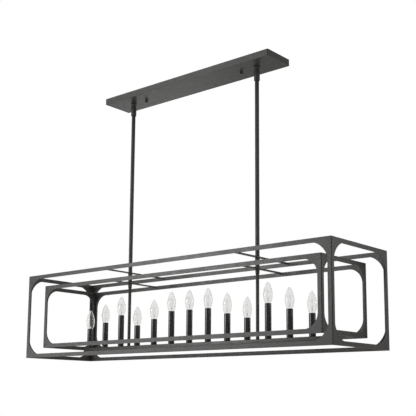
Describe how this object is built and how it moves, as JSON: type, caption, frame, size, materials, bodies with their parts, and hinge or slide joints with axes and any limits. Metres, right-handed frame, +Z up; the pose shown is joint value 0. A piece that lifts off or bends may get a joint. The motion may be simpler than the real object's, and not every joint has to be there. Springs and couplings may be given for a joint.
{
  "type": "linear island pendant light",
  "caption": "Linear island pendant: ceiling canopy with hang-straight swivels and twin rods, two nested open box cages of cut sheet steel, and a light bar of candle lamps at stepped heights.",
  "frame": {"origin": "on the ceiling plane, at the middle of the canopy and of the outlet box screw slots, midway between the two rods", "axes": "+X along the fixture to the right, +Y across it towards the back, +Z up into the ceiling; the pendant hangs below Z = 0"},
  "size_m": [1.524, 0.3682, 1.1069],
  "materials": {
    "powder_coat": "satin charcoal black powder coat on steel",
    "sleeve_enamel": "satin black enamel on thin steel tube",
    "zinc_steel": "bright zinc plate",
    "ground_green": "green dyed zinc plate",
    "connector_plastic": "moulded orange plastic",
    "wire_jacket": "smooth PVC wire jacket",
    "socket_phenolic": "moulded black phenolic",
    "bulb_glass": "clear blown glass",
    "lamp_base_metal": "rolled brass screw shell"
  },
  "bodies": {
    "canopy": {"canopy_pan": "powder_coat", "mounting_strap": "zinc_steel", "strap_studs": "zinc_steel", "swivel_lock_nuts": "zinc_steel", "swivel_cups": "powder_coat", "ground_screw": "ground_green", "wire_connectors": "connector_plastic", "canopy_leads": "wire_jacket"},
    "thumb_nut_left": {"thumb_nut_left": "powder_coat"},
    "thumb_nut_right": {"thumb_nut_right": "powder_coat"},
    "fixture": {"swivel_balls": "powder_coat", "rod_coupler_left": "powder_coat", "rod_coupler_right": "powder_coat", "upper_rod_left": "powder_coat", "upper_rod_right": "powder_coat", "lower_rod_left": "powder_coat", "lower_rod_right": "powder_coat", "rod_joiners": "zinc_steel", "hanger_nipples": "zinc_steel", "collar_nuts": "powder_coat", "spacer_tubes": "powder_coat", "taper_nuts": "powder_coat", "down_tube_left": "powder_coat", "down_tube_right": "powder_coat", "outer_cross_bar_left": "powder_coat", "outer_cross_bar_right": "powder_coat", "inner_cross_bar_left": "powder_coat", "inner_cross_bar_right": "powder_coat", "light_bar": "powder_coat", "light_bar_cover": "powder_coat", "bar_nipples": "zinc_steel", "bar_cap_nuts": "powder_coat", "bar_lock_nuts": "zinc_steel", "candle_sleeves_short": "sleeve_enamel", "candle_sleeves_middle": "sleeve_enamel", "candle_sleeves_tall": "sleeve_enamel", "lamp_sockets": "socket_phenolic", "socket_stems": "zinc_steel", "lamp_leads": "wire_jacket", "outer_front_panel": "powder_coat", "outer_back_panel": "powder_coat", "outer_left_panel": "powder_coat", "outer_right_panel": "powder_coat", "inner_front_panel": "powder_coat", "inner_back_panel": "powder_coat", "inner_left_panel": "powder_coat", "inner_right_panel": "powder_coat"},
    "bulb_01": {"bulb_01": "bulb_glass"},
    "bulb_02": {"bulb_02": "bulb_glass"},
    "bulb_03": {"bulb_03": "bulb_glass"},
    "bulb_04": {"bulb_04": "bulb_glass"},
    "bulb_05": {"bulb_05": "bulb_glass"},
    "bulb_06": {"bulb_06": "bulb_glass"},
    "bulb_07": {"bulb_07": "bulb_glass"},
    "bulb_08": {"bulb_08": "bulb_glass"},
    "bulb_09": {"bulb_09": "bulb_glass"},
    "bulb_10": {"bulb_10": "bulb_glass"},
    "bulb_11": {"bulb_11": "bulb_glass"},
    "bulb_12": {"bulb_12": "bulb_glass"},
    "bulb_13": {"bulb_13": "bulb_glass"}
  },
  "joints": [
    {"name": "fixture_swing", "type": "hinge", "parent": "canopy", "child": "fixture", "pos_m": [0, 0, -0.03], "axis": [1, 0, 0], "range_deg": [-25, 25]},
    {"name": "thumb_nut_left_turn", "type": "hinge", "parent": "canopy", "child": "thumb_nut_left", "pos_m": [-0.25505, 0, -0.03], "axis": [0, 0, 1], "continuous": true},
    {"name": "thumb_nut_right_turn", "type": "hinge", "parent": "canopy", "child": "thumb_nut_right", "pos_m": [0.25505, 0, -0.03], "axis": [0, 0, 1], "continuous": true},
    {"name": "bulb_01_lift_out", "type": "slide", "parent": "fixture", "child": "bulb_01", "axis": [0, 0, 1], "range_m": [0, 0.03]},
    {"name": "bulb_02_lift_out", "type": "slide", "parent": "fixture", "child": "bulb_02", "axis": [0, 0, 1], "range_m": [0, 0.03]},
    {"name": "bulb_03_lift_out", "type": "slide", "parent": "fixture", "child": "bulb_03", "axis": [0, 0, 1], "range_m": [0, 0.03]},
    {"name": "bulb_04_lift_out", "type": "slide", "parent": "fixture", "child": "bulb_04", "axis": [0, 0, 1], "range_m": [0, 0.03]},
    {"name": "bulb_05_lift_out", "type": "slide", "parent": "fixture", "child": "bulb_05", "axis": [0, 0, 1], "range_m": [0, 0.03]},
    {"name": "bulb_06_lift_out", "type": "slide", "parent": "fixture", "child": "bulb_06", "axis": [0, 0, 1], "range_m": [0, 0.03]},
    {"name": "bulb_07_lift_out", "type": "slide", "parent": "fixture", "child": "bulb_07", "axis": [0, 0, 1], "range_m": [0, 0.03]},
    {"name": "bulb_08_lift_out", "type": "slide", "parent": "fixture", "child": "bulb_08", "axis": [0, 0, 1], "range_m": [0, 0.03]},
    {"name": "bulb_09_lift_out", "type": "slide", "parent": "fixture", "child": "bulb_09", "axis": [0, 0, 1], "range_m": [0, 0.03]},
    {"name": "bulb_10_lift_out", "type": "slide", "parent": "fixture", "child": "bulb_10", "axis": [0, 0, 1], "range_m": [0, 0.03]},
    {"name": "bulb_11_lift_out", "type": "slide", "parent": "fixture", "child": "bulb_11", "axis": [0, 0, 1], "range_m": [0, 0.03]},
    {"name": "bulb_12_lift_out", "type": "slide", "parent": "fixture", "child": "bulb_12", "axis": [0, 0, 1], "range_m": [0, 0.03]},
    {"name": "bulb_13_lift_out", "type": "slide", "parent": "fixture", "child": "bulb_13", "axis": [0, 0, 1], "range_m": [0, 0.03]}
  ]
}
